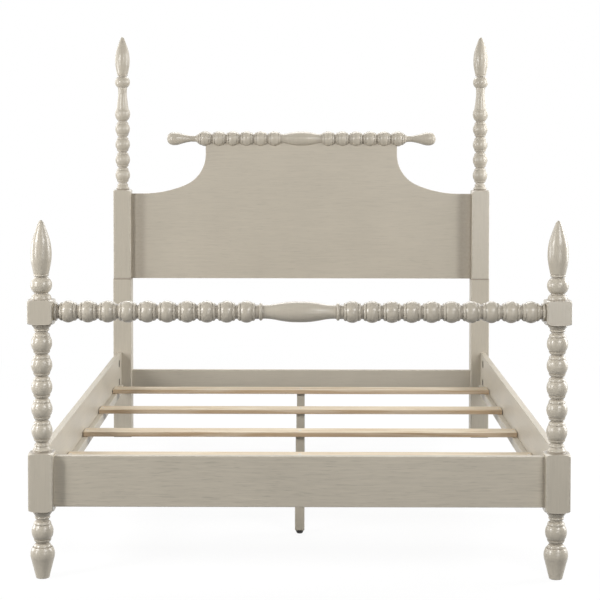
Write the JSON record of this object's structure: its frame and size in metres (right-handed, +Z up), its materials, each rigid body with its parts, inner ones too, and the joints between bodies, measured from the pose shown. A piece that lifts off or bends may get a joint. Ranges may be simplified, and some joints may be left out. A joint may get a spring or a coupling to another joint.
{
  "type": "bed frame",
  "caption": "Low-post bed frame with bobbin-turned posts and rails, a scooped headboard panel, plank side rails, pine slats and middle support legs on levelling glides; it holds a mattress.",
  "frame": {"origin": "middle of the bed's footprint, on the floor", "axes": "+Z up; +Y from the foot of the bed to its head; +X to the right seen from the foot"},
  "size_m": [1.629, 2.2044, 1.738],
  "materials": {
    "turned_paint": "satin grey-beige paint over turned hardwood",
    "board_paint": "satin grey-beige paint with faint grain",
    "slat_pine": "planed, unfinished pine",
    "glide_plastic": "moulded black",
    "zinc_steel": "zinc plated",
    "dowel_beech": "unfinished beech"
  },
  "bodies": {
    "frame": {"crest_rail": "turned_paint", "foot_board": "board_paint", "foot_post_left": "turned_paint", "foot_post_right": "turned_paint", "foot_rail": "turned_paint", "headboard_leg_left": "board_paint", "headboard_leg_right": "board_paint", "headboard_panel": "board_paint", "headboard_post_left": "turned_paint", "headboard_post_right": "turned_paint", "headboard_stretcher": "board_paint", "ledger_screws": "zinc_steel", "leg_dowels": "dowel_beech", "leg_inserts": "zinc_steel", "leg_screws": "zinc_steel", "rail_bolts": "zinc_steel", "rail_nuts": "zinc_steel", "rail_washers": "zinc_steel", "side_rail_left": "board_paint", "side_rail_right": "board_paint", "slat_1": "slat_pine", "slat_2": "slat_pine", "slat_3": "slat_pine", "slat_4": "slat_pine", "slat_ledger_left": "board_paint", "slat_ledger_right": "board_paint", "slat_screws": "zinc_steel", "support_leg_1": "board_paint", "support_leg_2": "board_paint", "support_leg_3": "board_paint", "support_leg_4": "board_paint"},
    "glide_body_1": {"glide_1": "glide_plastic", "glide_stud_1": "zinc_steel"},
    "glide_body_2": {"glide_2": "glide_plastic", "glide_stud_2": "zinc_steel"},
    "glide_body_3": {"glide_3": "glide_plastic", "glide_stud_3": "zinc_steel"},
    "glide_body_4": {"glide_4": "glide_plastic", "glide_stud_4": "zinc_steel"}
  },
  "joints": [
    {"name": "glide_slide_1", "type": "slide", "parent": "frame", "child": "glide_body_1", "axis": [0, 0, 1], "range_m": [-0.01, 0.0035]},
    {"name": "glide_slide_2", "type": "slide", "parent": "frame", "child": "glide_body_2", "axis": [0, 0, 1], "range_m": [-0.01, 0.0035]},
    {"name": "glide_slide_3", "type": "slide", "parent": "frame", "child": "glide_body_3", "axis": [0, 0, 1], "range_m": [-0.01, 0.0035]},
    {"name": "glide_slide_4", "type": "slide", "parent": "frame", "child": "glide_body_4", "axis": [0, 0, 1], "range_m": [-0.01, 0.0035]}
  ]
}
